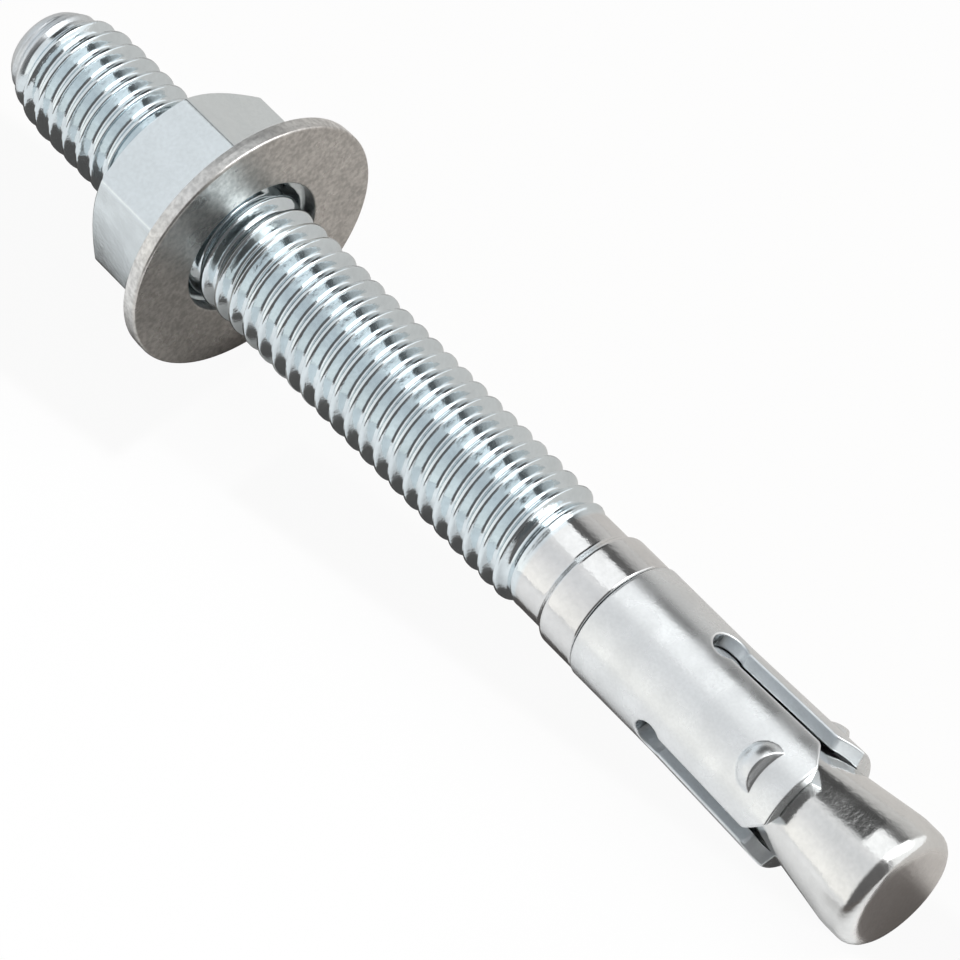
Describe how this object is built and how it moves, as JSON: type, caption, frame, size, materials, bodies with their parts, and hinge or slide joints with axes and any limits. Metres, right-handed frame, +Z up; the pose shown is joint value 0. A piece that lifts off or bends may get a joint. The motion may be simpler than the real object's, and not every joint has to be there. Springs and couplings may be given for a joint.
{
  "type": "wedge anchor",
  "caption": "Threaded steel stud with a conical end that spreads a leaved expansion clip inside a drilled hole in concrete, clamped by a hex nut on a flat washer.",
  "frame": {"origin": "centre of the resting bounding box in X and Y, on the table plane that the washer's rim and the cone's edge touch", "axes": "+X along the anchor toward the cone end, +Z up from the table, +Y to the left when looking along +X; the stud's axis rises 4.18 degrees toward -X"},
  "size_m": [0.0918, 0.0208, 0.0208],
  "materials": {
    "zinc_stud": "bright zinc plating on rolled and turned steel",
    "zinc_clip": "bright zinc plating on stamped sheet steel",
    "zinc_washer": "satin zinc plating on punched steel",
    "zinc_nut": "satin zinc plating on cold formed steel"
  },
  "bodies": {
    "stud": {"anchor_stud": "zinc_stud"},
    "clip": {"expansion_clip": "zinc_clip"},
    "washer": {"flat_washer": "zinc_washer"},
    "nut": {"hex_nut": "zinc_nut"}
  },
  "joints": [
    {"name": "nut_travel", "type": "slide", "parent": "stud", "child": "washer", "axis": [0.9973, 0, -0.073], "range_m": [-0.01511, 0.0318]},
    {"name": "nut_turn", "type": "hinge", "parent": "washer", "child": "nut", "pos_m": [-0.02252, 0, 0.00962], "axis": [0.9973, 0, -0.073], "range_deg": [-3420, 7200]},
    {"name": "clip_turn", "type": "hinge", "parent": "stud", "child": "clip", "pos_m": [0.01828, 0, 0.00663], "axis": [0.9973, 0, -0.073], "continuous": true}
  ],
  "couplings": [
    {"joint": "nut_travel", "follows": "nut_turn", "m_per_rad": 0.00025266}
  ]
}
